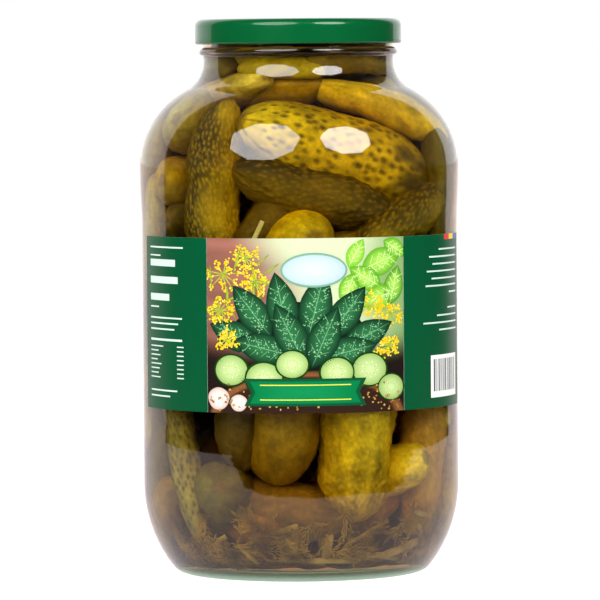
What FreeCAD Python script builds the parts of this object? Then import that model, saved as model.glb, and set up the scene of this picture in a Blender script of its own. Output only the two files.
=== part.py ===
import FreeCAD, Part
import math
import os
import re

import Sketcher

# A large glass pickle jar: thick-based glass with a sunk label panel and a threaded mouth, a pressed
# steel twist-off lid, a paper label round the front, and the brine that fills the jar.
# Frame: origin at the centre of the plane the jar stands on, +Z up, the label's middle faces -Y.

SIZES = {
    # Glass body, from the ground up
    "body_diameter": 160.0,  # over the upper bulge, the widest place
    "lower_inset": 0.5,      # by how much the lower bulge's radius is less than the upper one's
    "panel_inset": 0.9,      # by how much the label panel's radius is less than the upper bulge's
    "glass_wall": 2.8,
    "punt_height": 2.5,      # rise of the hollow under the base
    "ring_width": 8.0,       # flat ring that the jar stands on
    "base_corner": 9.0,      # round from the standing ring into the heel
    "heel_curve": 68.0,      # large curve of the heel
    "heel_height": 45.0,     # where the heel meets the straight wall
    "floor_height": 5.5,     # top of the thick base, inside
    "floor_corner": 14.0,    # round from the inner floor into the wall
    "lower_band": 21.0,      # straight wall below the label panel
    "panel_step": 14.0,      # height of the gentle curve at each end of the panel
    "upper_band": 14.5,      # straight wall above the panel
    "shoulder_curve": 44.5,
    "neck_curve": 15.0,      # hollow curve from the shoulder into the neck
    "neck_diameter": 95.6,
    "neck_length": 3.1,      # straight neck below the bead
    "bead_round": 2.0,       # half-round bead below the thread
    "bead_gap": 1.8,         # bead to the lid's lower edge
    "rim_round": 1.0,
    # Thread ridges on the mouth, one for each lug of the lid
    "thread_count": 6.0,
    "thread_depth": 1.5,
    "thread_root": 2.2,
    "thread_crest": 1.0,
    "thread_span": 56.0,     # degrees that one ridge runs round the mouth
    "thread_rise": 4.2,
    "thread_bite": 0.6,      # how far a ridge's section starts inside the glass
    # Lid
    "tinplate": 0.3,
    "lid_height": 12.5,
    "lid_round": 3.6,        # outer edge of the lid's top
    "curl_round": 1.0,       # rolled lower edge of the skirt
    "lid_clearance": 0.45,   # rolled edge to the thread's crest
    "well_margin": 1.6,      # the lid's middle, pressed down, to the jar's bore
    "well_depth": 1.1,
    "well_slope": 0.8,
    "lug_reach": 1.1,        # how far a lug reaches in past the thread's crest
    "lug_thickness": 0.5,
    "lug_span": 12.0,        # degrees
    "lug_clearance": 0.15,   # lug to the ridge above it
    # Label
    "label_height": 85.6,
    "label_width": 213.3,    # measured round the jar
    "label_offset": 5.2,     # its middle lies this far to the right of the front
    "label_margin": 4.7,     # label to the ends of the flat panel
    "paper": 0.15,
    # Brine
    "headspace": 9.5,        # surface of the brine to the rim
}

DERIVED = {
    "body_radius": "body_diameter / 2",
    "lower_radius": "body_radius - lower_inset",
    "panel_radius": "body_radius - panel_inset",
    "neck_radius": "neck_diameter / 2",
    "bore_radius": "neck_radius - glass_wall",
    "heel_centre": "lower_radius - heel_curve",
    "ring_outer": "heel_centre + sqrt((heel_curve - base_corner)^2 - (heel_height - base_corner)^2)",
    "ring_inner": "ring_outer - ring_width",
    "punt_curve": "(ring_inner^2 + punt_height^2) / (2 * punt_height)",
    "inner_heel": "heel_curve - glass_wall",
    "floor_rise": "heel_height - floor_height - floor_corner",
    "floor_radius": "heel_centre + sqrt((inner_heel - floor_corner)^2 - floor_rise^2)",
    "panel_foot": "heel_height + lower_band",
    "panel_low": "panel_foot + panel_step",
    "panel_high": "panel_low + label_height + 2 * label_margin",
    "panel_head": "panel_high + panel_step",
    "foot_inset": "panel_inset - lower_inset",
    "foot_curve": "(panel_step^2 + foot_inset^2) / (4 * foot_inset)",
    "head_curve": "(panel_step^2 + panel_inset^2) / (4 * panel_inset)",
    "shoulder_start": "panel_head + upper_band",
    "shoulder_centre": "body_radius - shoulder_curve",
    "neck_centre": "neck_radius + neck_curve",
    "shoulder_run": "shoulder_curve + neck_curve",
    "neck_start": "shoulder_start + sqrt(shoulder_run^2 - (neck_centre - shoulder_centre)^2)",
    "bead_height": "neck_start + neck_length + bead_round",
    "skirt_edge": "bead_height + bead_round + bead_gap",
    "rim_height": "skirt_edge + lid_height - tinplate",
    "thread_radius": "neck_radius + thread_depth",
    "lid_radius": "thread_radius + lid_clearance + 2 * curl_round",
    "skirt_drop": "lid_height - tinplate",
    "well_radius": "bore_radius - well_margin",
    "lug_slope": "thread_rise * lug_span / thread_span / 2",
    "thread_middle": "skirt_edge + curl_round + lug_clearance + lug_slope + thread_root / 2",
    "thread_low": "thread_middle - thread_rise / 2",
    "label_angle": "label_width / panel_radius * 180 / pi",
    "label_turn": "label_offset / panel_radius * 180 / pi - label_angle / 2 - 90",
    "brine_level": "rim_height - headspace",
}

CONVEX = 1    # an arc that turns left along an outline drawn anticlockwise
HOLLOW = -1

doc = FreeCAD.newDocument("pickle_jar")
sheet = doc.addObject("Spreadsheet::Sheet", "Sizes")


def fill_sheet():
    """Writes each driving size as a plain number and each derived one as a formula."""
    formulas = {alias: "=" + formula for alias, formula in DERIVED.items()}
    numbers = {alias: str(value) for alias, value in SIZES.items()}
    for row, (alias, content) in enumerate({**numbers, **formulas}.items(), start=1):
        sheet.set(f"A{row}", alias)
        sheet.set(f"B{row}", content)
        sheet.setAlias(f"B{row}", alias)
    doc.recompute()


def bound(expression):
    """The same expression as seen from outside the sheet."""
    return re.sub(r"\b([a-z][a-z_]*)\b(?!\()", r"Sizes.\1", expression)


def value(expression):
    return float(sheet.evalExpression(bound(expression)))


def new_body(name):
    body = doc.addObject("PartDesign::Body", name)
    body.Label = name
    return body


def origin_plane(body, role):
    return next(item for item in body.Origin.OriginFeatures if item.Role == role)


def arc_centre(start, end, radius, turn):
    chord = end - start
    across = FreeCAD.Vector(-chord.y, chord.x, 0).normalize()
    rise = math.sqrt(max(radius**2 - chord.Length**2 / 4, 0.0))
    return (start + end) / 2 + across * (turn * rise)


def fix_coordinate(sketch, kind, edge, end, expression):
    """Ties one coordinate of an edge's end to the sheet, or puts the end on the axis when it is 0."""
    if expression == "0":
        axis = -2 if kind == "DistanceX" else -1
        sketch.addConstraint(Sketcher.Constraint("PointOnObject", edge, end, axis))
        return
    constraint = Sketcher.Constraint(kind, -1, 1, edge, end, value(expression))
    sketch.setExpression(f"Constraints[{sketch.addConstraint(constraint)}]", bound(expression))


def draw_outline(body, name, corners):
    """Draws a closed outline in the plane of X (radius) and Z (height).

    A corner is (radius, height), or (radius, height, arc radius, turn) where an arc leads to it.
    """
    sketch = body.newObject("Sketcher::SketchObject", name)
    sketch.AttachmentSupport = [(origin_plane(body, "XZ_Plane"), "")]
    sketch.MapMode = "FlatFace"
    points = [FreeCAD.Vector(value(corner[0]), value(corner[1]), 0) for corner in corners]
    previous_end = None
    first_start = None
    for index, corner in enumerate(corners):
        start, end = points[index - 1], points[index]
        start_side, end_side = 1, 2
        if len(corner) == 2:
            edge = sketch.addGeometry(Part.LineSegment(start, end))
        else:
            radius, turn = value(corner[2]), corner[3]
            centre = arc_centre(start, end, radius, turn)
            from_centre = [start - centre, end - centre]
            if turn == HOLLOW:
                start_side, end_side = 2, 1
                from_centre.reverse()
            angles = [math.atan2(arm.y, arm.x) for arm in from_centre]
            circle = Part.Circle(centre, FreeCAD.Vector(0, 0, 1), radius)
            edge = sketch.addGeometry(Part.ArcOfCircle(circle, *angles))
        if previous_end is None:
            first_start = (edge, start_side)
        else:
            sketch.addConstraint(Sketcher.Constraint("Coincident", *previous_end, edge, start_side))
        fix_coordinate(sketch, "DistanceX", edge, end_side, corner[0])
        fix_coordinate(sketch, "DistanceY", edge, end_side, corner[1])
        if len(corner) == 4:
            constraint = sketch.addConstraint(Sketcher.Constraint("Radius", edge, radius))
            sketch.setExpression(f"Constraints[{constraint}]", bound(corner[2]))
        previous_end = (edge, end_side)
    sketch.addConstraint(Sketcher.Constraint("Coincident", *previous_end, *first_start))
    return sketch


def turned(body, kind, name, corners, angle="360", midplane=False):
    """Adds (Revolution) or cuts (Groove) what an outline sweeps about the Z axis."""
    sketch = draw_outline(body, name + "_outline", corners)
    feature = body.newObject(f"PartDesign::{kind}", name)
    feature.Profile = sketch
    feature.ReferenceAxis = (sketch, ["V_Axis"])
    feature.Midplane = midplane
    feature.setExpression("Angle", bound(angle))
    sketch.Visibility = False
    doc.recompute()
    return feature


def pattern_round(body, feature, name):
    """Repeats a feature about the Z axis, once for each thread ridge and lug."""
    pattern = body.newObject("PartDesign::PolarPattern", name)
    pattern.Originals = [feature]
    pattern.Axis = (feature.Profile[0], ["V_Axis"])
    pattern.Angle = 360
    pattern.setExpression("Occurrences", bound("thread_count"))
    body.Tip = pattern
    doc.recompute()
    return pattern


def between_centres(first, second, reach, span):
    """The point at `reach` from the first centre, on the line through the second, `span` away."""
    return [f"{a} + ({b} - {a}) * ({reach}) / ({span})" for a, b in zip(first, second)]


HEEL = ("heel_centre", "heel_height")
SHOULDER = ("shoulder_centre", "shoulder_start")
NECK = ("neck_centre", "neck_start")


def outer_corners():
    """Outside of the glass, from the hollow under the base up to the rim and back to the axis."""
    base = between_centres(HEEL, ("ring_outer", "base_corner"), "heel_curve", "heel_curve - base_corner")
    shoulder = between_centres(SHOULDER, NECK, "shoulder_curve", "shoulder_run")
    return [
        ("0", "punt_height"),
        ("ring_inner", "0", "punt_curve", HOLLOW),
        ("ring_outer", "0"),
        (*base, "base_corner", CONVEX),
        ("lower_radius", "heel_height", "heel_curve", CONVEX),
        ("lower_radius", "panel_foot"),
        ("lower_radius - foot_inset / 2", "panel_foot + panel_step / 2", "foot_curve", CONVEX),
        ("panel_radius", "panel_low", "foot_curve", HOLLOW),
        ("panel_radius", "panel_high"),
        ("body_radius - panel_inset / 2", "panel_high + panel_step / 2", "head_curve", HOLLOW),
        ("body_radius", "panel_head", "head_curve", CONVEX),
        ("body_radius", "shoulder_start"),
        (*shoulder, "shoulder_curve", CONVEX),
        ("neck_radius", "neck_start", "neck_curve", HOLLOW),
        ("neck_radius", "bead_height - bead_round"),
        ("neck_radius + bead_round", "bead_height", "bead_round", CONVEX),
        ("neck_radius", "bead_height + bead_round", "bead_round", CONVEX),
        ("neck_radius", "rim_height - rim_round"),
        ("neck_radius - rim_round", "rim_height", "rim_round", CONVEX),
        ("0", "rim_height"),
    ]


def cavity_corners():
    """Inside of the glass, from the middle of the floor up to the start of the neck."""
    corner = ("floor_radius", "floor_height + floor_corner")
    floor = between_centres(HEEL, corner, "inner_heel", "inner_heel - floor_corner")
    shoulder = between_centres(SHOULDER, NECK, "shoulder_curve - glass_wall", "shoulder_run")
    return [
        ("0", "floor_height"),
        ("floor_radius", "floor_height"),
        (*floor, "floor_corner", CONVEX),
        ("lower_radius - glass_wall", "heel_height", "inner_heel", CONVEX),
        ("body_radius - glass_wall", "shoulder_start"),
        (*shoulder, "shoulder_curve - glass_wall", CONVEX),
        ("bore_radius", "neck_start", "neck_curve + glass_wall", HOLLOW),
    ]


def build_glass_jar():
    body = new_body("glass_jar")
    blank = turned(body, "Revolution", "blank", outer_corners())
    mouth = [
        ("bore_radius", "rim_height - rim_round"),
        ("bore_radius + rim_round", "rim_height", "rim_round", HOLLOW),
        ("0", "rim_height"),
    ]
    cavity = turned(body, "Groove", "cavity", cavity_corners() + mouth)
    if cavity.Shape.Volume > 0.5 * blank.Shape.Volume:
        raise RuntimeError("the cavity has not been cut out of the glass")

    section = [
        ("neck_radius - thread_bite", "thread_low - thread_root / 2"),
        ("neck_radius", "thread_low - thread_root / 2"),
        ("thread_radius", "thread_low - thread_crest / 2"),
        ("thread_radius", "thread_low + thread_crest / 2"),
        ("neck_radius", "thread_low + thread_root / 2"),
        ("neck_radius - thread_bite", "thread_low + thread_root / 2"),
    ]
    ridge_section = draw_outline(body, "ridge_outline", section)
    ridge = body.newObject("PartDesign::AdditiveHelix", "thread_ridge")
    ridge.Profile = ridge_section
    ridge.ReferenceAxis = (ridge_section, ["V_Axis"])
    ridge.Mode = "height-turns-angle"
    ridge.setExpression("Height", bound("thread_rise"))
    ridge.setExpression("Turns", bound("thread_span / 360"))
    ridge_section.Visibility = False
    doc.recompute()
    pattern_round(body, ridge, "thread_ridges")
    return body


def build_lid():
    """Pressed steel lid. Its own origin is at the middle of the face that sits on the jar's rim."""
    body = new_body("lid")
    section = [
        ("0", "-well_depth"),
        ("well_radius", "-well_depth"),
        ("well_radius + well_slope", "0"),
        ("lid_radius - lid_round", "0"),
        ("lid_radius - tinplate", "tinplate - lid_round", "lid_round - tinplate", HOLLOW),
        ("lid_radius - tinplate", "curl_round - skirt_drop"),
        ("lid_radius - curl_round", "tinplate - skirt_drop", "curl_round - tinplate", HOLLOW),
        ("lid_radius - 2 * curl_round + tinplate", "curl_round - skirt_drop",
         "curl_round - tinplate", HOLLOW),
        ("lid_radius - 2 * curl_round", "curl_round - skirt_drop"),
        ("lid_radius - curl_round", "-skirt_drop", "curl_round", CONVEX),
        ("lid_radius", "curl_round - skirt_drop", "curl_round", CONVEX),
        ("lid_radius", "tinplate - lid_round"),
        ("lid_radius - lid_round", "tinplate", "lid_round", CONVEX),
        ("well_radius + well_slope", "tinplate"),
        ("well_radius", "tinplate - well_depth"),
        ("0", "tinplate - well_depth"),
    ]
    turned(body, "Revolution", "shell", section)
    lug_section = [
        ("thread_radius - lug_reach", "curl_round - skirt_drop - lug_thickness"),
        ("lid_radius - curl_round", "curl_round - skirt_drop - lug_thickness"),
        ("lid_radius - curl_round", "curl_round - skirt_drop"),
        ("thread_radius - lug_reach", "curl_round - skirt_drop"),
    ]
    lug = turned(body, "Revolution", "lug", lug_section, angle="lug_span", midplane=True)
    pattern_round(body, lug, "lugs")
    body.Placement = FreeCAD.Placement(FreeCAD.Vector(), FreeCAD.Rotation(0, 0, 0))
    body.setExpression("Placement.Base.z", bound("rim_height"))
    body.setExpression("Placement.Rotation.Yaw", bound("thread_span / 2"))
    return body


def build_label():
    """Paper label. Its own frame has the lower edge at Z = 0 and the left edge over the X axis."""
    body = new_body("label")
    section = [
        ("panel_radius", "0"),
        ("panel_radius + paper", "0"),
        ("panel_radius + paper", "label_height"),
        ("panel_radius", "label_height"),
    ]
    turned(body, "Revolution", "sheet_of_paper", section, angle="label_angle")
    body.setExpression("Placement.Base.z", bound("panel_low + label_margin"))
    body.setExpression("Placement.Rotation.Yaw", bound("label_turn"))
    return body


def build_brine():
    """The brine fills the cavity up to its surface in the mouth."""
    body = new_body("brine")
    surface = [("bore_radius", "brine_level"), ("0", "brine_level")]
    turned(body, "Revolution", "filling", cavity_corners() + surface)
    return body


def check_document():
    for item in doc.Objects:
        if {"Invalid", "Error"} & set(item.State):
            raise RuntimeError(f"{item.Label} has failed: {item.State}")
        if item.isDerivedFrom("Sketcher::SketchObject") and item.solve() != 0:
            raise RuntimeError(f"{item.Label} can't be solved")


def export(bodies):
    os.makedirs("parts", exist_ok=True)
    for body in bodies:
        if body.Shape.isNull() or not body.Shape.isValid() or len(body.Shape.Solids) != 1:
            raise RuntimeError(f"{body.Label} is not one valid solid")
    for body in bodies:
        body.Shape.exportStep(f"parts/{body.Label}.step")
        box = body.Shape.BoundBox
        print(f"{body.Label}: {body.Shape.Volume / 1000:.1f} cm3, {box}")


fill_sheet()
sub_parts = [build_glass_jar(), build_lid(), build_label(), build_brine()]
doc.recompute()
check_document()
export(sub_parts)
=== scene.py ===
import math
from dataclasses import dataclass

import bpy
import numpy as np
from mathutils import Euler, Matrix, Vector


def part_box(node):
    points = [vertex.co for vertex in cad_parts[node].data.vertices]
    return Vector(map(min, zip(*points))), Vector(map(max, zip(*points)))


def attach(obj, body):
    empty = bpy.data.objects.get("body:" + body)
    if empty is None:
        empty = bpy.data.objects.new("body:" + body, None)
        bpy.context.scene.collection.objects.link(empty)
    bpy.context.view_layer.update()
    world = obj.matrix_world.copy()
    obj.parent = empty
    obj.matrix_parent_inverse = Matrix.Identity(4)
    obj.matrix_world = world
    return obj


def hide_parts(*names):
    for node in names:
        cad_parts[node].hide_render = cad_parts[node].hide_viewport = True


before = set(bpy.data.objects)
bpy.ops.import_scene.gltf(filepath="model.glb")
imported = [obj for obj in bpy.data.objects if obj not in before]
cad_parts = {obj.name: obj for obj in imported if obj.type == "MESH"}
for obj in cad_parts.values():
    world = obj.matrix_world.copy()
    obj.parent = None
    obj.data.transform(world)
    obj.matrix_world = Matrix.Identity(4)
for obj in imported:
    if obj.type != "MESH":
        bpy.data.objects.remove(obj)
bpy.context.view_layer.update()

# Shapes are worked out in millimetres with z up and -y towards the front; mesh_object makes them metres.
MM = 0.001
SEGMENTS = 240                       # of every turned shape
GLASS_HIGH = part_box("glass_jar")[1]
LID_LOW, LID_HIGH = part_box("lid")
LABEL_LOW, LABEL_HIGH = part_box("label")
BRINE_LOW, BRINE_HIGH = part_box("brine")

# ---------------------------------------------------------------- sizes of the jar, in millimetres
BODY = GLASS_HIGH.x / MM             # radius of the upper bulge
PANEL = BODY - 0.9                   # radius of the sunk label panel
LOWER = PANEL + 0.1                  # radius of the lower bulge
WALL = 2.8
PUNT = 2.5                           # height of the hollow under the base
STANDING_RING = 8.0                  # width of the ring round it that the jar stands on
BASE_CORNER, HEEL_CURVE, HEEL_HEIGHT = 9.0, 68.0, 45.0
FLOOR, FLOOR_CORNER = BRINE_LOW.z / MM, 14.0
PANEL_FOOT, PANEL_LOW, PANEL_TOP, PANEL_HEAD = 52.0, 80.0, 172.0, 203.0
SHOULDER_START, SHOULDER_CURVE, NECK_CURVE = 203.5, 44.5, 15.0
NECK = 47.8
RIM = GLASS_HIGH.z / MM
RIM_ROUND = 1.0
BEAD_ROUND, BEAD_GAP = 2.0, 1.8
LEVEL = BRINE_HIGH.z / MM
SKIRT_EDGE, LID_TOP, LID_RADIUS = LID_LOW.z / MM, LID_HIGH.z / MM, 51.75
LABEL_FOOT, LABEL_TOP = LABEL_LOW.z / MM, LABEL_HIGH.z / MM
PAPER = 0.15
LABEL_LEFT, LABEL_RIGHT = -73.5, 81.0  # degrees round from the front
HEEL_CENTRE = LOWER - HEEL_CURVE
SHOULDER_CENTRE = BODY - SHOULDER_CURVE
NECK_CENTRE = NECK + NECK_CURVE
NECK_START = SHOULDER_START + math.sqrt(
    (SHOULDER_CURVE + NECK_CURVE) ** 2 - (NECK_CENTRE - SHOULDER_CENTRE) ** 2)
BEAD_HEIGHT = SKIRT_EDGE - BEAD_GAP - BEAD_ROUND
THREAD_SPAN, THREAD_PITCH = 56.0, 60.0  # degrees covered by one of the six ridges, and from one to the next
THREAD_RISE, THREAD_DEPTH = 4.2, 1.5
THREAD_MIDDLE = SKIRT_EDGE + 2.7


# ---------------------------------------------------------------- small helpers
def linear(hex_colour):
    """sRGB hex such as "#5a6b1c" as linear RGBA."""
    parts = [int(hex_colour[i:i + 2], 16) / 255 for i in (1, 3, 5)]
    return [c / 12.92 if c <= 0.04045 else ((c + 0.055) / 1.055) ** 2.4 for c in parts] + [1.0]


def add(tree, kind, settings=None, inputs=None):
    """Adds one node. An input is a plain value, or the socket that feeds it."""
    item = tree.nodes.new(kind)
    for name, value in (settings or {}).items():
        setattr(item, name, value)
    for name, value in (inputs or {}).items():
        if isinstance(value, bpy.types.NodeSocket):
            tree.links.new(value, item.inputs[name])
        else:
            item.inputs[name].default_value = value
    return item


def new_material(name):
    """An empty material with its output node."""
    material = bpy.data.materials.new(name)
    material.use_nodes = True
    material.node_tree.nodes.clear()
    output = add(material.node_tree, "ShaderNodeOutputMaterial")
    return material, material.node_tree, output


def mesh_object(name, vertices, faces, material, smooth=True):
    """A mesh in the scene. Vertices are in millimetres."""
    mesh = bpy.data.meshes.new(name)
    mesh.from_pydata([tuple(v) for v in np.asarray(vertices) * MM], [], faces)
    mesh.validate()
    mesh.polygons.foreach_set("use_smooth", [smooth] * len(mesh.polygons))
    item = bpy.data.objects.new(name, mesh)
    bpy.context.scene.collection.objects.link(item)
    if material:
        mesh.materials.append(material)
    return item


def colour_attribute(item, name, colours):
    """Stores one linear colour for each vertex."""
    layer = item.data.color_attributes.new(name, "FLOAT_COLOR", "POINT")
    rgba = np.ones((len(item.data.vertices), 4), np.float32)
    rgba[:, :3] = np.asarray(colours)[:, :3]
    layer.data.foreach_set("color", rgba.ravel())


def finish_piece(item, slot, *nodes):
    """Rides a piece on the only body and hides the nodes it stands for. Its slot is not used."""
    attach(item, "root")
    if nodes:
        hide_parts(*nodes)


def waves(points, length, seed, count=14):
    """Smooth mottling between about -1 and 1, with patches `length` across."""
    random = np.random.default_rng(seed)
    direction = random.normal(size=(count, 3))
    direction *= (2 * math.pi / length / np.linalg.norm(direction, axis=1))[:, None]
    direction *= random.uniform(0.6, 1.5, (count, 1))
    phase = random.uniform(0, 2 * math.pi, count)
    return np.sin(points @ direction.T + phase).sum(1) / math.sqrt(count)


def blend(low, high, factor):
    """One row of `low` or `high`, or between them, for each factor."""
    factor = np.clip(factor, 0, 1)[:, None]
    return low * (1 - factor) + high * factor


def ease(low, high, value):
    """0 below `low`, 1 above `high` and a smooth step between."""
    t = np.clip((value - low) / (high - low), 0, 1)
    return t * t * (3 - 2 * t)


# ---------------------------------------------------------------- turned shapes
def arc(centre, radius, start, end, step=2.5):
    """Points on an arc, from one angle to the other in degrees, without its first point."""
    count = max(3, math.ceil(abs(end - start) / step))
    angles = np.radians(np.linspace(start, end, count + 1)[1:])
    return [(centre[0] + radius * math.cos(a), centre[1] + radius * math.sin(a)) for a in angles]


def run(start, end, step=4.0):
    """Points on a straight line, without its first point."""
    start, end = np.array(start), np.array(end)
    count = max(1, math.ceil(np.linalg.norm(end - start) / step))
    return [tuple(start + (end - start) * i / count) for i in range(1, count + 1)]


def s_curve(start, end, steps=8):
    """Two equal arcs from one upright wall to another a little to its side, without the first point."""
    side, rise = end[0] - start[0], end[1] - start[1]
    radius = (side ** 2 + rise ** 2) / (4 * abs(side))
    points = []
    for i in range(1, steps + 1):
        up = rise * i / steps
        near = min(up, rise - up)
        shift = radius - math.sqrt(radius ** 2 - near ** 2)
        shift = shift if up <= rise / 2 else abs(side) - shift
        points.append((start[0] + math.copysign(shift, side), start[1] + up))
    return points


def angle_between(first, second):
    """Direction from one point to another, in degrees."""
    return math.degrees(math.atan2(second[1] - first[1], second[0] - first[0]))


def lathe(name, outline, material, segments=SEGMENTS, relief=None):
    """Turns an outline that starts and ends on the axis. relief(angles, radius, z) moves its rings out."""
    angles = np.linspace(0, 2 * math.pi, segments, endpoint=False)
    vertices, rings, faces = [], [], []
    for radius, height in outline:
        if radius < 1e-6:
            rings.append([len(vertices)])
            vertices.append((0, 0, height))
            continue
        reach = np.full(segments, radius)
        if relief is not None:
            reach = reach + relief(angles, radius, height)
        rings.append(list(range(len(vertices), len(vertices) + segments)))
        vertices += list(zip(reach * np.cos(angles), reach * np.sin(angles), [height] * segments))
    for low, high in zip(rings, rings[1:]):
        for i in range(segments):
            j = (i + 1) % segments
            if len(low) == 1:
                faces.append((low[0], high[j], high[i]))
            elif len(high) == 1:
                faces.append((low[i], low[j], high[0]))
            else:
                faces.append((low[i], low[j], high[j], high[i]))
    return mesh_object(name, vertices, faces, material)


def outer_outline():
    """Outside of the glass, from the middle of the hollow base up to the rim."""
    corner = (HEEL_CENTRE + math.sqrt((HEEL_CURVE - BASE_CORNER) ** 2
                                      - (HEEL_HEIGHT - BASE_CORNER) ** 2), BASE_CORNER)
    heel, shoulder = (HEEL_CENTRE, HEEL_HEIGHT), (SHOULDER_CENTRE, SHOULDER_START)
    neck = (NECK_CENTRE, NECK_START)
    ring_inner = corner[0] - STANDING_RING
    punt_curve = (ring_inner ** 2 + PUNT ** 2) / (2 * PUNT)
    punt_end = math.degrees(math.asin(ring_inner / punt_curve))
    heel_angle, shoulder_angle = angle_between(heel, corner), angle_between(shoulder, neck)
    points = [(0, PUNT)] + arc((0, PUNT - punt_curve), punt_curve, 90, 90 - punt_end, 0.5)
    points += run(points[-1], (corner[0], 0), 2.0)
    points += arc(corner, BASE_CORNER, -90, heel_angle, 5)
    points += arc(heel, HEEL_CURVE, heel_angle, 0, 1.5)
    points += run(points[-1], (LOWER, PANEL_FOOT))
    points += s_curve(points[-1], (PANEL, PANEL_LOW))
    points += run(points[-1], (PANEL, PANEL_TOP))
    points += s_curve(points[-1], (BODY, PANEL_HEAD))
    points += run(points[-1], (BODY, SHOULDER_START))
    points += arc(shoulder, SHOULDER_CURVE, 0, shoulder_angle, 1.5)
    points += arc(neck, NECK_CURVE, 180 + shoulder_angle, 180, 4)
    points += run(points[-1], (NECK, BEAD_HEIGHT - BEAD_ROUND), 1)
    points += arc((NECK, BEAD_HEIGHT), BEAD_ROUND, -90, 90, 12)
    points += run(points[-1], (NECK, RIM - RIM_ROUND), 0.3)
    points += arc((NECK - RIM_ROUND, RIM - RIM_ROUND), RIM_ROUND, 0, 90, 20)
    return points


def cavity_outline(grow, top):
    """Inside of the glass from the floor up to `top`, moved out by `grow`."""
    wall = WALL - grow
    corner = (HEEL_CENTRE + math.sqrt((HEEL_CURVE - WALL - FLOOR_CORNER) ** 2
                                      - (HEEL_HEIGHT - FLOOR - FLOOR_CORNER) ** 2), FLOOR + FLOOR_CORNER)
    heel, shoulder = (HEEL_CENTRE, HEEL_HEIGHT), (SHOULDER_CENTRE, SHOULDER_START)
    neck = (NECK_CENTRE, NECK_START)
    heel_angle, shoulder_angle = angle_between(heel, corner), angle_between(shoulder, neck)
    points = [(0, FLOOR - grow)] + run((0, FLOOR - grow), (corner[0], FLOOR - grow), 6)
    points += arc(corner, FLOOR_CORNER + grow, -90, heel_angle, 4)
    points += arc(heel, HEEL_CURVE - wall, heel_angle, 0, 1.5)
    points += run(points[-1], (BODY - wall, SHOULDER_START))
    points += arc(shoulder, SHOULDER_CURVE - wall, 0, shoulder_angle, 1.5)
    points += arc(neck, NECK_CURVE + wall, 180 + shoulder_angle, 180, 4)
    points += run(points[-1], (NECK - wall, top), 1.5)
    return points


def thread_relief(angles, radius, height):
    """Six ridges that climb the mouth, for the lugs of the lid."""
    if radius < NECK - 0.01 or height < BEAD_HEIGHT + BEAD_ROUND or height > RIM - RIM_ROUND:
        return np.zeros_like(angles)
    along = (np.degrees(angles) % THREAD_PITCH) / THREAD_SPAN
    centre = THREAD_MIDDLE + (along - 0.5) * THREAD_RISE
    across = 1 - ease(0.5, 1.1, np.abs(height - centre))
    ends = ease(0, 0.05, along) * (1 - ease(0.95, 1.0, along))
    return THREAD_DEPTH * across * ends


def evenly(outline, step):
    """Points on an outline, `step` apart."""
    along = np.concatenate([[0], np.cumsum(np.linalg.norm(np.diff(outline, axis=0), axis=1))])
    return np.stack([np.interp(np.arange(0, along[-1], step), along, outline[:, i]) for i in (0, 1)], 1)


CAVITY = np.array(cavity_outline(0.0, RIM))
WALL_POINTS = evenly(CAVITY, 0.8)


def room_to_glass(centres, radii):
    """Free room between balls and the glass round them, and the way back inside."""
    flat = np.hypot(centres[:, 0], centres[:, 1])
    away = np.stack([flat, centres[:, 2]], 1)[:, None] - WALL_POINTS[None]
    distance = np.linalg.norm(away, axis=2)
    nearest = distance.argmin(1)
    index = np.arange(len(centres))
    within = flat < np.interp(centres[:, 2], CAVITY[:, 1], CAVITY[:, 0])
    side = np.where(within, 1, -1)
    back = away[index, nearest] / distance[index, nearest, None] * side[:, None]
    outward = centres[:, :2] / np.maximum(flat, 1e-6)[:, None]
    return distance[index, nearest] * side - radii, np.hstack([outward * back[:, :1], back[:, 1:]])


# ---------------------------------------------------------------- materials
def let_lamps_through(tree, shader, tint):
    """Shadow rays pass straight through, so lamps light what is behind the surface."""
    clear = add(tree, "ShaderNodeBsdfTransparent", inputs={"Color": linear(tint)})
    path = add(tree, "ShaderNodeLightPath")
    mix = add(tree, "ShaderNodeMixShader", inputs={0: path.outputs["Is Shadow Ray"]})
    tree.links.new(shader.outputs[0], mix.inputs[1])
    tree.links.new(clear.outputs[0], mix.inputs[2])
    return mix


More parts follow.
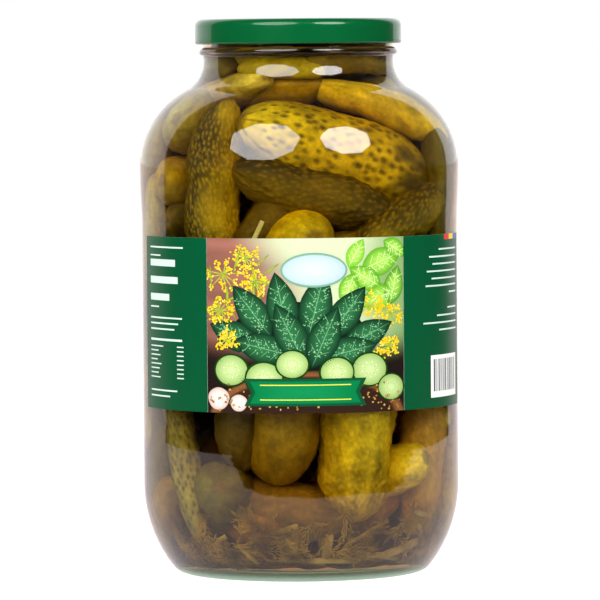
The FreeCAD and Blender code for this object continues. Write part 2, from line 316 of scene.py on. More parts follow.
def container_glass(name, gleam):
    """Soda-lime container glass, blown: clear with a faint ripple, pale green where it is thick.

    Against brine glass hardly gleams, so the wetted inner face has a gleam of 0.
    The foot is milky green, since light runs round inside its thick ring.
    """
    material, tree, output = new_material(name)
    place = add(tree, "ShaderNodeTexCoord")
    height = add(tree, "ShaderNodeSeparateXYZ", inputs={0: place.outputs["Object"]})
    thick = add(tree, "ShaderNodeMapRange", inputs={
        "Value": height.outputs["Z"], "From Min": 12 * MM, "From Max": 4 * MM})
    tint = add(tree, "ShaderNodeMix", {"data_type": "RGBA"}, {
        0: thick.outputs[0], "A": linear("#fbfdfb"), "B": linear("#bfdcc8")})
    ripple = add(tree, "ShaderNodeTexNoise", inputs={
        "Vector": place.outputs["Object"], "Scale": 22.0, "Detail": 1.0})
    bump = add(tree, "ShaderNodeBump", inputs={
        "Strength": 0.12, "Distance": 0.0008, "Height": ripple.outputs[0]})
    glass = add(tree, "ShaderNodeBsdfPrincipled", inputs={
        "Base Color": tint.outputs["Result"], "Roughness": 0.0, "IOR": 1.52,
        "Transmission Weight": 1.0, "Specular Tint": (gleam, gleam, gleam, 1.0), "Normal": bump.outputs[0]})
    milky = add(tree, "ShaderNodeBsdfDiffuse", inputs={"Color": linear("#a4c4ae")})
    ring = add(tree, "ShaderNodeMapRange", inputs={
        "Value": height.outputs["Z"], "From Min": 4.2 * MM, "From Max": 1.8 * MM, "To Max": 0.5 * gleam})
    body = add(tree, "ShaderNodeMixShader", inputs={
        0: ring.outputs[0], 1: glass.outputs[0], 2: milky.outputs[0]})
    mix = let_lamps_through(tree, body, "#f2f7f3")
    tree.links.new(mix.outputs[0], output.inputs[0])
    return material


def pickling_brine():
    """Vinegar brine: water-clear but yellow-brown with dill and cucumber, so depth darkens it."""
    material, tree, output = new_material("vinegar_brine")
    liquid = add(tree, "ShaderNodeBsdfPrincipled", inputs={
        "Base Color": linear("#fffdf4"), "Roughness": 0.0, "IOR": 1.34,
        "Transmission Weight": 1.0, "Specular Tint": (0.0, 0.0, 0.0, 1.0)})
    mix = let_lamps_through(tree, liquid, "#fff0c0")
    tree.links.new(mix.outputs[0], output.inputs[0])
    depth = add(tree, "ShaderNodeVolumeAbsorption", inputs={
        "Color": linear("#eeb634"), "Density": 20.0})
    tree.links.new(depth.outputs[0], output.inputs["Volume"])
    return material


def gherkin_skin():
    """Pickled cucumber skin: olive to ochre, waxy and finely speckled, wet in the brine."""
    material, tree, output = new_material("pickled_cucumber_skin")
    skin = add(tree, "ShaderNodeAttribute", {"attribute_name": "skin"})
    place = add(tree, "ShaderNodeTexCoord")
    speckle = add(tree, "ShaderNodeTexNoise", inputs={
        "Vector": place.outputs["Object"], "Scale": 420.0, "Detail": 4.0, "Roughness": 0.65})
    tone = add(tree, "ShaderNodeMapRange", inputs={
        "Value": speckle.outputs[0], "From Min": 0.3, "From Max": 0.7, "To Min": 0.7, "To Max": 1.25})
    varied = add(tree, "ShaderNodeVectorMath", {"operation": "SCALE"}, {
        0: skin.outputs["Color"], "Scale": tone.outputs[0]})
    bump = add(tree, "ShaderNodeBump", inputs={
        "Strength": 0.5, "Distance": 0.0006, "Height": speckle.outputs[0]})
    surface = add(tree, "ShaderNodeBsdfPrincipled", inputs={
        "Base Color": varied.outputs[0], "Roughness": 0.4, "IOR": 1.45,
        "Specular IOR Level": 0.35, "Normal": bump.outputs[0]})
    tree.links.new(surface.outputs[0], output.inputs[0])
    return material


def lacquered_tinplate():
    """Green stoving lacquer on tinplate: glossy, hardly textured."""
    material, tree, output = new_material("green_lacquered_tinplate")
    place = add(tree, "ShaderNodeTexCoord")
    flow = add(tree, "ShaderNodeTexNoise", inputs={
        "Vector": place.outputs["Object"], "Scale": 900.0, "Detail": 2.0})
    bump = add(tree, "ShaderNodeBump", inputs={
        "Strength": 0.05, "Distance": 0.0002, "Height": flow.outputs[0]})
    paint = add(tree, "ShaderNodeBsdfPrincipled", inputs={
        "Base Color": linear("#005027"), "Roughness": 0.3, "IOR": 1.5, "Specular IOR Level": 0.1,
        "Coat Weight": 0.5, "Coat Roughness": 0.03, "Normal": bump.outputs[0]})
    tree.links.new(paint.outputs[0], output.inputs[0])
    return material


def coated_label_paper():
    """Coated label paper, offset printed: inks in flat fields under a thin satin varnish.

    Its fibre is drawn coarser than it is, or it wouldn't show.
    """
    material, tree, output = new_material("varnished_label_paper")
    ink = add(tree, "ShaderNodeAttribute", {"attribute_name": "ink"})
    place = add(tree, "ShaderNodeTexCoord")
    fibre = add(tree, "ShaderNodeTexNoise", inputs={
        "Vector": place.outputs["Object"], "Scale": 1400.0, "Detail": 3.0})
    tone = add(tree, "ShaderNodeMapRange", inputs={
        "Value": fibre.outputs[0], "To Min": 0.94, "To Max": 1.06})
    colour = add(tree, "ShaderNodeVectorMath", {"operation": "SCALE"}, {
        0: ink.outputs["Color"], "Scale": tone.outputs[0]})
    bump = add(tree, "ShaderNodeBump", inputs={
        "Strength": 0.08, "Distance": 0.0001, "Height": fibre.outputs[0]})
    paper = add(tree, "ShaderNodeBsdfPrincipled", inputs={
        "Base Color": colour.outputs[0], "Roughness": 0.3, "Specular IOR Level": 0.08,
        "Normal": bump.outputs[0]})
    tree.links.new(paper.outputs[0], output.inputs[0])
    return material


def dill_material(name, dark, light):
    """Dill that has lain in vinegar: dull, limp and fibrous, in patches of two colours."""
    material, tree, output = new_material(name)
    place = add(tree, "ShaderNodeTexCoord")
    patch = add(tree, "ShaderNodeTexNoise", inputs={
        "Vector": place.outputs["Object"], "Scale": 90.0, "Detail": 4.0})
    spread = add(tree, "ShaderNodeMapRange", inputs={
        "Value": patch.outputs[0], "From Min": 0.35, "From Max": 0.65})
    colour = add(tree, "ShaderNodeMix", {"data_type": "RGBA"}, {
        0: spread.outputs[0], "A": linear(dark), "B": linear(light)})
    leaf = add(tree, "ShaderNodeBsdfPrincipled", inputs={
        "Base Color": colour.outputs["Result"], "Roughness": 0.6, "Specular IOR Level": 0.2})
    tree.links.new(leaf.outputs[0], output.inputs[0])
    return material


# ---------------------------------------------------------------- gherkins
BEADS = 7                            # balls that stand for a gherkin while it is laid in the jar


@dataclass
class Gherkin:
    """One pickled cucumber: its place against the glass, its shape and its colours."""
    bearing: float          # degrees round from the front, positive to the right
    height: float           # of its middle above the ground
    tilt: float             # degrees from level, right end up
    length: float
    girth: float            # its diameter
    aim: float = 0.0        # degrees that its axis points outward
    back: float = 0.0       # how far it lies behind the place where it would touch the glass
    bend: float = 3.0       # how far its middle bows outward
    spin: float = 0.0       # degrees that its belly is turned about its own axis
    taper: float = 0.07     # share by which one end is thicker and the other thinner
    skin: str = "#6d6212"
    belly: str = "#a38c10"
    tail: str = ""          # colour of the right or upper end, if it has its own
    pits: float = 0.0       # strength of the sunk dark spots
    warts: float = 0.6      # strength of the raised light spots
    grain: float = 5.0      # distance between spots
    ridges: float = 0.0     # strength of the nine lengthwise ribs
    blunt: float = 3.1      # how square its ends are, 2 for an ellipsoid
    seed: int = 0
    fine: float = 1.0       # fineness of its mesh

    def __post_init__(self):
        self.random = np.random.default_rng(self.seed)
        self.centre = np.array([0.0, 0.0, self.height])
        self.axes = self.directions()
        self.settle()

    def outward(self):
        """Level direction from the jar's axis to the gherkin."""
        around = math.radians(self.bearing)
        return np.array([math.sin(around), -math.cos(around), 0])

    def directions(self):
        """Length, side and outward directions of the gherkin, as rows."""
        outward = self.outward()
        right = np.array([-outward[1], outward[0], 0])
        tilt, aim = math.radians(self.tilt), math.radians(self.aim)
        flat = math.cos(tilt) * right + math.sin(tilt) * np.array([0, 0, 1])
        along = math.cos(aim) * flat + math.sin(aim) * outward
        out = math.cos(aim) * outward - math.sin(aim) * flat
        return np.array([along, np.cross(out, along), out])

    def spine(self, x):
        """Points on the bent axis for x from -1 to 1, in its own directions."""
        half = self.length / 2
        return np.stack([x * half, np.zeros_like(x), self.bend * (0.4 - x * x)], 1)

    def thickness(self, x):
        """Radius for x from -1 to 1."""
        return self.girth / 2 * (1 + self.taper * x) * (1 - np.abs(x) ** self.blunt) ** 0.5

    def beads(self):
        """Middles and radii of the balls along the spine."""
        reach = 1 - self.girth / self.length
        x = np.linspace(-reach, reach, BEADS)
        return self.centre + self.spine(x) @ self.axes, np.full(BEADS, self.girth / 2)

    def inside(self):
        """Whether all of it has room within the glass."""
        return room_to_glass(*self.beads())[0].min() > 0.9

    def settle(self):
        """Slides the gherkin out along its bearing until it touches the glass."""
        outward, up = self.outward(), np.array([0, 0, self.height])
        reach = 0.0
        for step in (8.0, 2.0, 0.5, 0.1):
            while reach < BODY:
                self.centre = outward * (reach + step) + up
                if not self.inside():
                    break
                reach += step
        self.centre = outward * (reach - self.back) + up

    def mesh(self):
        """Vertices, faces and skin colours."""
        rows, columns = int(58 * self.fine), int(56 * self.fine)
        t = np.linspace(0, math.pi, rows + 2)[1:-1]
        x = -np.sign(np.cos(t)) * np.abs(np.cos(t)) ** 0.82
        v = np.linspace(0, 2 * math.pi, columns, endpoint=False)
        grid_x, grid_v = [g.ravel() for g in np.meshgrid(x, v, indexing="ij")]
        grid_x, grid_v = np.append(grid_x, [-1, 1]), np.append(grid_v, [0, 0])
        radius = self.thickness(grid_x)
        lobes = 1 + 0.022 * np.cos(3 * grid_v + self.seed) + 0.02 * np.cos(2 * grid_v + 2 * self.seed)
        lobes += 0.012 * self.ridges * (1 - grid_x ** 4) * np.cos(9 * grid_v)
        around = np.stack([np.zeros_like(grid_v), np.sin(grid_v), np.cos(grid_v)], 1)
        own = around * self.girth / 2
        own[:, 0] = grid_x * self.length / 2
        fade = np.sqrt(np.clip(radius / (self.girth / 2), 0, 1))
        spots = self.spots(own)
        relief = 0.9 * waves(own, 34, self.seed) + 0.28 * waves(own, 9, self.seed + 50)
        relief += (0.8 * self.warts - 0.45 * self.pits) * spots
        local = self.spine(grid_x) + around * (radius * lobes + fade * relief)[:, None]
        faces = []
        for i in range(rows - 1):
            for j in range(columns):
                k = (j + 1) % columns
                a, b = i * columns, (i + 1) * columns
                faces.append((a + j, b + j, b + k, a + k))
        first, last = len(local) - 2, len(local) - 1
        for j in range(columns):
            k = (j + 1) % columns
            faces.append((first, j, k))
            faces.append((last, (rows - 1) * columns + k, (rows - 1) * columns + j))
        return self.centre + local @ self.axes, faces, self.colours(own, grid_x, grid_v, spots)

    def spots(self, own):
        """Soft oval marks in staggered rows over the skin, from 0 to 1."""
        field = np.zeros(len(own))
        for row, x in enumerate(np.arange(-0.95, 0.96, 1.8 * self.grain / self.length)):
            count = max(3, round(2 * math.pi * float(self.thickness(np.array([x]))[0]) / self.grain))
            for index in range(count):
                v = (index + 0.5 * (row % 2) + self.random.uniform(-0.32, 0.32)) * 2 * math.pi / count
                along = x * self.length / 2 + self.random.uniform(-0.35, 0.35) * self.grain
                width = self.grain * self.random.uniform(0.2, 0.34)
                strength = self.random.uniform(0.6, 1.0)
                spot = np.array([along, math.sin(v) * self.girth / 2, math.cos(v) * self.girth / 2])
                distance = np.linalg.norm((own - spot) / (1.4, 1, 1), axis=1)
                field = np.maximum(field, strength * (1 - ease(0.35 * width, 1.35 * width, distance)))
        return field

    def colours(self, own, grid_x, grid_v, spots):
        """Skin on one side, belly on the other, with streaks, mottling, spots and scarred tips."""
        skin, belly = np.array(linear(self.skin)[:3]), np.array(linear(self.belly)[:3])
        facing = np.cos(grid_v - math.radians(self.spin))
        patch = facing + 0.55 * waves(own, 40, self.seed + 7)
        colour = blend(skin, belly, ease(-0.5, 0.9, patch))
        if self.tail:
            end = ease(0.3, 0.85, grid_x + 0.12 * waves(own, 15, self.seed + 3))
            colour = blend(colour, np.array(linear(self.tail)[:3]), 0.9 * end)
        streak = waves(own * (0.12, 1, 1), 7, self.seed + 9)
        streak = streak * (1 + self.ridges) + 1.6 * self.ridges * np.cos(9 * grid_v + 0.6 * streak)
        streak *= 1 - grid_x ** 4
        colour = colour * (1 + 0.13 * streak)[:, None]
        colour = colour * (1 + 0.16 * waves(own, 12, self.seed + 21))[:, None]
        colour = blend(colour, belly * (1.7, 1.6, 1.5), 0.6 * spots * min(self.warts, 1.5))
        colour = blend(colour, skin * (0.24, 0.19, 0.3), spots * self.pits)
        scar = ease(0.965, 0.992, np.abs(grid_x))
        return np.clip(blend(colour, np.array(linear("#6a4a1c")[:3]), 0.7 * scar), 0, 1)


def gherkin_piece(name, gherkins, material):
    """Joins gherkins to one mesh with their colours."""
    vertices, faces, skins, count = [], [], [], 0
    for gherkin in gherkins:
        points, loops, skin = gherkin.mesh()
        vertices.append(points)
        faces += [tuple(index + count for index in loop) for loop in loops]
        skins.append(skin)
        count += len(points)
    piece = mesh_object(name, np.vstack(vertices), faces, material)
    colour_attribute(piece, "skin", np.vstack(skins))
    return piece


def shown_above():
    """The gherkins that lie against the glass above the label, at the front."""
    return [
        Gherkin(-13, 252, -1, 43, 14.5, bend=1, skin="#84700f", belly="#a48e0e", seed=1, warts=0.1),
        Gherkin(38, 254.5, -3, 44, 13, back=1, bend=1, skin="#5a480e", belly="#7a6212", seed=2, warts=0.2),
        Gherkin(59, 227.5, -26, 76, 21, aim=44, bend=2, skin="#b29c1c", belly="#d6c020", blunt=2.2, seed=3,
                warts=0.2, pits=0.25, fine=1.3),
        Gherkin(22, 209, -20, 98, 33.5, back=1, bend=3, skin="#9a8808", belly="#c8b208", tail="#281e06",
                pits=1.0, warts=0.0, grain=5.2, seed=4, fine=2.3, taper=0.1),
        Gherkin(-25, 235, 186, 48, 24, back=15, bend=3, skin="#766212", belly="#987e14", tail="#b08c18",
                seed=5, pits=0.3),
        Gherkin(-42, 191, 92, 86, 27, aim=-10, bend=3, spin=-125, skin="#3c3208", belly="#9c8810", seed=6,
                warts=1.0, grain=2.6, fine=2.1),
        Gherkin(-60, 234, 28, 58, 22, bend=3, skin="#a08c28", belly="#c0ab42", seed=7, warts=0.3),
        Gherkin(-73, 220, 24, 54, 25, aim=58, bend=2, skin="#8f8222", belly="#ada032", seed=8, pits=0.3),
        Gherkin(-70, 196, 10, 60, 24, aim=70, skin="#a08618", belly="#c4a41e", seed=9, pits=0.3, warts=0.2),
        Gherkin(-66, 175, 20, 62, 22, aim=66, skin="#4c400e", belly="#6d5d16", seed=10, fine=0.8),
        Gherkin(-78, 171, 84, 62, 20, skin="#7d7020", belly="#a29428", seed=11, fine=0.8),
        Gherkin(8, 191, -19, 80, 27, back=7, bend=3, spin=-70, skin="#2e2705", belly="#6c5c08", seed=12,
                warts=1.1, grain=3.3, fine=1.7),
        Gherkin(-3, 168, 10, 62, 32, aim=72, skin="#a0880a", belly="#c6aa0c", seed=13, warts=0.4),
        Gherkin(51, 179, 24, 66, 23, bend=3, spin=-60, skin="#403606", belly="#7e6c0a", seed=14, warts=1.0,
                grain=3.2, fine=1.6),
        Gherkin(72, 190, 84, 64, 22, bend=2, skin="#3f3808", belly="#5e5410", seed=15, fine=0.8),
        Gherkin(26, 162, 4, 70, 24, back=6, skin="#4a3e08", belly="#7a6a0c", seed=16, fine=0.8),
        Gherkin(-22, 168, 60, 60, 22, back=12, skin="#3a3006", belly="#5c4e0a", seed=17, fine=0.8),
    ]


def shown_below():
    """The gherkins that show below the label."""
    return [
        Gherkin(-57, 66, -76, 92, 18, bend=2, skin="#6c6016", belly="#8a7e2a", pits=0.9, warts=0.0, seed=21,
                grain=3.7, fine=1.8),
        Gherkin(-44, 42, 20, 60, 31, aim=60, bend=2, skin="#5c5016", belly="#6f6420", seed=22, pits=0.3),
        Gherkin(-8, 85, 84, 76, 34, aim=6, back=2, bend=2, skin="#443a08", belly="#8e7408", seed=23,
                warts=0.4, fine=1.2),
        Gherkin(-28, 92, 88, 76, 26, back=4, skin="#3c3208", belly="#57490c", seed=24),
        Gherkin(27, 76, 90, 92, 36, aim=4, bend=2, spin=10, skin="#8c7c0a", belly="#bca414", tail="#dcc040",
                blunt=3.6, seed=25, warts=0.9, grain=3.2, ridges=0.4, fine=2.0),
        Gherkin(43, 51, 32, 64, 25, aim=60, skin="#c4aa18", belly="#e4c81a", seed=26, warts=0.1, pits=0.15),
        Gherkin(65, 66, 84, 88, 27, back=3, bend=3, skin="#86681a", belly="#b6902a", seed=27,
                pits=0.3, fine=1.2),
        Gherkin(68, 78, 0, 54, 14, aim=76, skin="#8d7a1c", belly="#ad9628", seed=28, warts=0.2),
        Gherkin(8, 35, 12, 80, 25, back=16, bend=2, skin="#6b5014", belly="#8a661c", seed=29),
        Gherkin(-16, 38, -10, 70, 25, back=16, bend=2, skin="#5c4a14", belly="#75601a", seed=30),
        Gherkin(-76, 55, 84, 84, 22, bend=2, skin="#4a4312", belly="#645a1a", seed=31, warts=0.6),
    ]


def spread_out(fixed, loose, rounds=160):
    """Pushes the loose gherkins off the others and back inside the glass."""
    everyone = fixed + loose
    for _ in range(rounds):
        centres, radii = zip(*[g.beads() for g in everyone])
        owner = np.repeat(np.arange(len(everyone)), BEADS)
        centres, radii = np.vstack(centres), np.concatenate(radii)
        apart = centres[:, None] - centres[None]
        distance = np.linalg.norm(apart, axis=2) + 1e-6
        overlap = radii[:, None] + radii[None] - distance
        overlap[owner[:, None] == owner[None]] = 0
        push = (apart / distance[..., None] * np.clip(overlap, 0, 4)[..., None]).sum(1)
        for index, gherkin in enumerate(loose, len(fixed)):
            move = push[owner == index].sum(0) * 0.16
            gherkin.centre = gherkin.centre + np.clip(move, -3, 3)
            room, back = room_to_glass(*gherkin.beads())
            worst = room.argmin()
            if room[worst] < 1:
                gherkin.centre = gherkin.centre + back[worst] * (1 - room[worst])
            points, sizes = gherkin.beads()
            gherkin.centre[2] -= max(0, (points[:, 2] + sizes - LEVEL + 1).max())


def hidden_fill(shown):
    """The rest of the load: round the back, behind the label and in the middle."""
    random = np.random.default_rng(5)
    palette = [("#5c5010", "#8f7f12"), ("#4a4009", "#7c6c0e"), ("#7a6a12", "#a48e16"), ("#6b5210", "#94741a")]
    rings = [(range(95, 265, 24), height, 0) for height in (40, 78, 116, 154, 192, 226)]
    rings += [(range(-80, 95, 24), 124, 0), (range(85, 281, 38), 252, 0), (range(85, 281, 38), 259, 8)]
    rings += [(range(45, 316, 54), height, 40) for height in (40, 95, 150, 205)]
    loose, in_neck = [], []
    for bearings, height, back in rings:
        if height > SHOULDER_START + SHOULDER_CURVE:
            tilts, jitter, size, pile = [0], 0, 0.6, in_neck
        else:
            tilts, jitter, size, pile = [80, 90, 65, -70, 20, -25], 8, 1.0, loose
        for bearing in bearings:
            skin, belly = palette[random.integers(len(palette))]
            pile.append(Gherkin(
                bearing + random.uniform(-7, 7), height + random.uniform(-jitter, jitter),
                random.choice(tilts) + random.uniform(-10, 10) * size,
                random.uniform(62, 84) * size, random.uniform(22, 29) * size,
                back=back, bend=random.uniform(1, 4), spin=random.uniform(-60, 60),
                skin=skin, belly=belly, seed=int(random.integers(1000)),
                warts=random.uniform(0.1, 0.9), pits=random.uniform(0, 0.5), fine=0.55))
    spread_out(shown + in_neck, loose)
    return loose + in_neck


# ---------------------------------------------------------------- dill
def frond_lines(seed):
    """A limp frond as lines in millimetres: a curved stem with side threads that fork."""
    random = np.random.default_rng(seed)
    lines = []
    stem = [np.array([0.0, 0.0, 0.0])]
    heading = 0.0
    for _ in range(9):
        heading += random.uniform(-0.3, 0.3)
        onward = np.array([1.9 * math.cos(heading), 1.9 * math.sin(heading), random.uniform(-0.3, 0.3)])
        stem.append(stem[-1] + onward)
        for side in (-1, 1):
            turn = heading + side * random.uniform(0.4, 1.0)
            reach = random.uniform(2.5, 6.5)
            thread = [stem[-1]]
            for _ in range(3):
                turn += random.uniform(-0.45, 0.45)
                step = np.array([math.cos(turn), math.sin(turn), random.uniform(-0.25, 0.25)])
                thread.append(thread[-1] + step * reach / 3)
                fork = turn - side * random.uniform(0.3, 0.8)
                twig = np.array([math.cos(fork), math.sin(fork), random.uniform(-0.3, 0.3)]) * reach * 0.35
                lines.append([thread[-1], thread[-1] + twig])
            lines.append(thread)
    lines.append(stem)
    middle = np.mean(stem, 0)
    return [[point - middle for point in line] for line in lines]


def line_object(name, lines):
    """A mesh of edges only. Points are in millimetres."""
    vertices, edges = [], []
    for line in lines:
        first = len(vertices)
        vertices += [tuple(point * MM) for point in line]
        edges += [(first + i, first + i + 1) for i in range(len(line) - 1)]
    mesh = bpy.data.meshes.new(name)
    mesh.from_pydata(vertices, edges, [])
    item = bpy.data.objects.new(name, mesh)
    bpy.context.scene.collection.objects.link(item)
    return item


def scatter_tree():
    """Lays copies of a sprig flat over a surface, each turned and sized at random."""
    tree = bpy.data.node_groups.new("scatter_sprigs", "GeometryNodeTree")
    for name, kind in (("Surface", "Geometry"), ("Sprig", "Object"), ("Density", "Float"),
                       ("Thickness", "Float"), ("Smallest", "Float"), ("Largest", "Float"),
                       ("Seed", "Int"), ("Material", "Material")):
        tree.interface.new_socket(name, in_out="INPUT", socket_type="NodeSocket" + kind)
    tree.interface.new_socket("Sprigs", in_out="OUTPUT", socket_type="NodeSocketGeometry")
    given = add(tree, "NodeGroupInput").outputs
    points = add(tree, "GeometryNodeDistributePointsOnFaces", inputs={
        "Mesh": given["Surface"], "Density": given["Density"], "Seed": given["Seed"]})
    sprig = add(tree, "GeometryNodeObjectInfo", inputs={"Object": given["Sprig"]})
    lines = add(tree, "GeometryNodeMeshToCurve", inputs={"Mesh": sprig.outputs["Geometry"]})
    section = add(tree, "GeometryNodeCurvePrimitiveCircle", inputs={
        "Resolution": 3, "Radius": given["Thickness"]})
    threads = add(tree, "GeometryNodeCurveToMesh", inputs={
        "Curve": lines.outputs[0], "Profile Curve": section.outputs["Curve"]})
    angle = add(tree, "FunctionNodeRandomValue", {"data_type": "FLOAT"}, {
        2: 0.0, 3: 2 * math.pi, "Seed": given["Seed"]})
    turn = add(tree, "FunctionNodeAxisAngleToRotation", inputs={"Axis": (0, 0, 1), "Angle": angle.outputs[1]})
    rotation = add(tree, "FunctionNodeRotateRotation", {"rotation_space": "LOCAL"}, {
        0: points.outputs["Rotation"], 1: turn.outputs[0]})
    scale = add(tree, "FunctionNodeRandomValue", {"data_type": "FLOAT"}, {
        2: given["Smallest"], 3: given["Largest"], "Seed": given["Seed"]})
    copies = add(tree, "GeometryNodeInstanceOnPoints", inputs={
        "Points": points.outputs["Points"], "Instance": threads.outputs[0],
        "Rotation": rotation.outputs[0], "Scale": scale.outputs[1]})
    real = add(tree, "GeometryNodeRealizeInstances", inputs={0: copies.outputs[0]})
    coated = add(tree, "GeometryNodeSetMaterial", inputs={0: real.outputs[0], "Material": given["Material"]})
    result = add(tree, "NodeGroupOutput")
    tree.links.new(coated.outputs[0], result.inputs[0])
    return tree


def scattered(name, surface, tree, settings):
    """Runs the tree over a surface and keeps its result as a plain mesh."""
    modifier = surface.modifiers.new("scatter", "NODES")
    modifier.node_group = tree
    for socket in tree.interface.items_tree:
        if socket.name in settings:
            modifier[socket.identifier] = settings[socket.name]
    bpy.context.view_layer.update()
    mesh = bpy.data.meshes.new_from_object(surface.evaluated_get(bpy.context.evaluated_depsgraph_get()))
    surface.modifiers.remove(modifier)
    item = bpy.data.objects.new(name, mesh)
    bpy.context.scene.collection.objects.link(item)
    return item


def dill_fronds():
    """Fronds that have sunk to the bottom, in a loose bank along the foot of the wall."""
    material = dill_material("pickled_dill_leaf", "#4c3a0c", "#b4922e")
    heights = np.linspace(FLOOR + 7, FLOOR + 29, 10)
    radii = np.interp(heights, CAVITY[:, 1], CAVITY[:, 0]) - 5.5
    surface = lathe("bank", [(0, heights[0]), (24, heights[0])] + list(zip(radii, heights)), None, 90)
    frond = line_object("frond", frond_lines(4))
    piece = scattered("dill_fronds", surface, scatter_tree(), {
        "Sprig": frond, "Density": 9500.0, "Thickness": 0.26 * MM, "Smallest": 0.55, "Largest": 1.0,
        "Seed": 3, "Material": material})
    bpy.data.objects.remove(surface)
    bpy.data.objects.remove(frond)
    return piece


def stalk_pieces(name, stalks, material):
    """Flattened lengths of stem that follow the glass, each (bearing, height, tilt, length, width, gap)."""
    random = np.random.default_rng(8)
    vertices, faces = [], []
    steps, sides = 14, 8
    for bearing, height, tilt, length, width, gap in stalks:
        first = len(vertices)
        for i in range(steps + 1):
            along = (i / steps - 0.5) * length
            up = height + along * math.sin(math.radians(tilt)) + 0.6 * math.sin(3 * i / steps + bearing)
            radius = np.interp(up, CAVITY[:, 1], CAVITY[:, 0]) - gap - 1.2 * abs(along) / length
            around = math.radians(bearing) + along * math.cos(math.radians(tilt)) / radius
            for j in range(sides):
                a = 2 * math.pi * j / sides
                ragged = random.uniform(0.75, 1.1) if i in (0, steps) else random.uniform(0.93, 1.04)
                across, deep = width / 2 * math.cos(a) * ragged, 0.22 * width * math.sin(a) * ragged
                lift = up + across * math.cos(math.radians(tilt))
                slide = around - across * math.sin(math.radians(tilt)) / radius
                reach = radius - deep
                vertices.append((reach * math.sin(slide), -reach * math.cos(slide), lift))
        for i in range(steps):
            for j in range(sides):
                k = (j + 1) % sides
                a, b = first + i * sides, first + (i + 1) * sides
                faces.append((a + j, a + k, b + k, b + j))
        faces.append(tuple(first + j for j in range(sides))[::-1])
        faces.append(tuple(first + steps * sides + j for j in range(sides)))
    return mesh_object(name, vertices, faces, material, smooth=False)


# Bearing and tilt in degrees, the rest in millimetres, as stalk_pieces takes them.
SUNK_STALKS = [
    (54, 33, -18, 12, 3.0, 5), (50, 17, 14, 26, 4.5, 6), (57, 22, -50, 14, 3.0, 5), (11, 18, 84, 13, 4.5, 8),
    (14, 12, 2, 28, 3.2, 6), (-9, 27, 12, 18, 3.6, 7), (-24, 15, -42, 12, 2.2, 5), (-4, 19, -58, 11, 2.0, 5),
    (30, 26, 24, 20, 2.4, 8), (-38, 20, 30, 14, 2.6, 6), (38, 13, -8, 20, 3.4, 6), (0, 12, -6, 22, 3.0, 7),
    (95, 18, 12, 24, 4.0, 6), (130, 22, -30, 16, 3.0, 6), (170, 16, 8, 28, 4.5, 6), (205, 25, 50, 15, 3.0, 6),
    (240, 17, -14, 22, 4.0, 6), (280, 21, 25, 18, 3.2, 6)]


# ---------------------------------------------------------------- lid
def lid_outline():
    """Pressed shell, from the underside's middle out round the rolled edge to the top's middle."""
    sheet, edge, curl = 0.3, 3.6, 1.0
    well, slope, sink = 43.4, 0.8, 1.1
    under = LID_TOP - sheet
    points = [(0, under - sink)] + run((0, under - sink), (well, under - sink), 6)
    points += run(points[-1], (well + slope, under), 0.3)
    points += run(points[-1], (LID_RADIUS - edge, under), 1.5)
    points += arc((LID_RADIUS - edge, LID_TOP - edge), edge - sheet, 90, 0, 8)
    points += run(points[-1], (LID_RADIUS - sheet, SKIRT_EDGE + curl), 2)
    points += arc((LID_RADIUS - curl, SKIRT_EDGE + curl), curl - sheet, 0, -180, 15)
    points += [(LID_RADIUS - 2 * curl, SKIRT_EDGE + curl)]
    points += arc((LID_RADIUS - curl, SKIRT_EDGE + curl), curl, -180, 0, 12)
    points += run(points[-1], (LID_RADIUS, LID_TOP - edge), 1.5)
    points += arc((LID_RADIUS - edge, LID_TOP - edge), edge, 0, 90, 6)
    points += run(points[-1], (well + slope, LID_TOP), 1.5)
    points += run(points[-1], (well, LID_TOP - sink), 0.3)
    points += run(points[-1], (0, LID_TOP - sink), 6)
    return points


# ---------------------------------------------------------------- label
def on_label(points, lift):
    """Places (across from the front, up from the label's foot) on the jar, `lift` off the panel."""
    points = np.asarray(points, float)
    radius = PANEL + lift
    around = points[:, 0] / PANEL
    return np.stack([radius * np.sin(around), -radius * np.cos(around), LABEL_FOOT + points[:, 1]], 1)


LABEL_HEIGHT = LABEL_TOP - LABEL_FOOT
ACROSS_LEFT, ACROSS_RIGHT = math.radians(LABEL_LEFT) * PANEL, math.radians(LABEL_RIGHT) * PANEL
PICTURE_LEFT, PICTURE_RIGHT = -48.5, 55.0
LABEL_GREEN, RULE_INK = "#004e2c", "#cfe2d6"
PANEL_CELL, BLOB_CELL = 1.25, 1.4    # widths of the printed facets, small so that layers don't cross
LAYER_STEP = 0.015                   # from one printed layer to the next


def finer(corners, step):
    """The same closed outline with points at most `step` apart."""
    points = []
    for start, end in zip(corners, corners[1:] + corners[:1]):
        points += run(start, end, step)
    return points


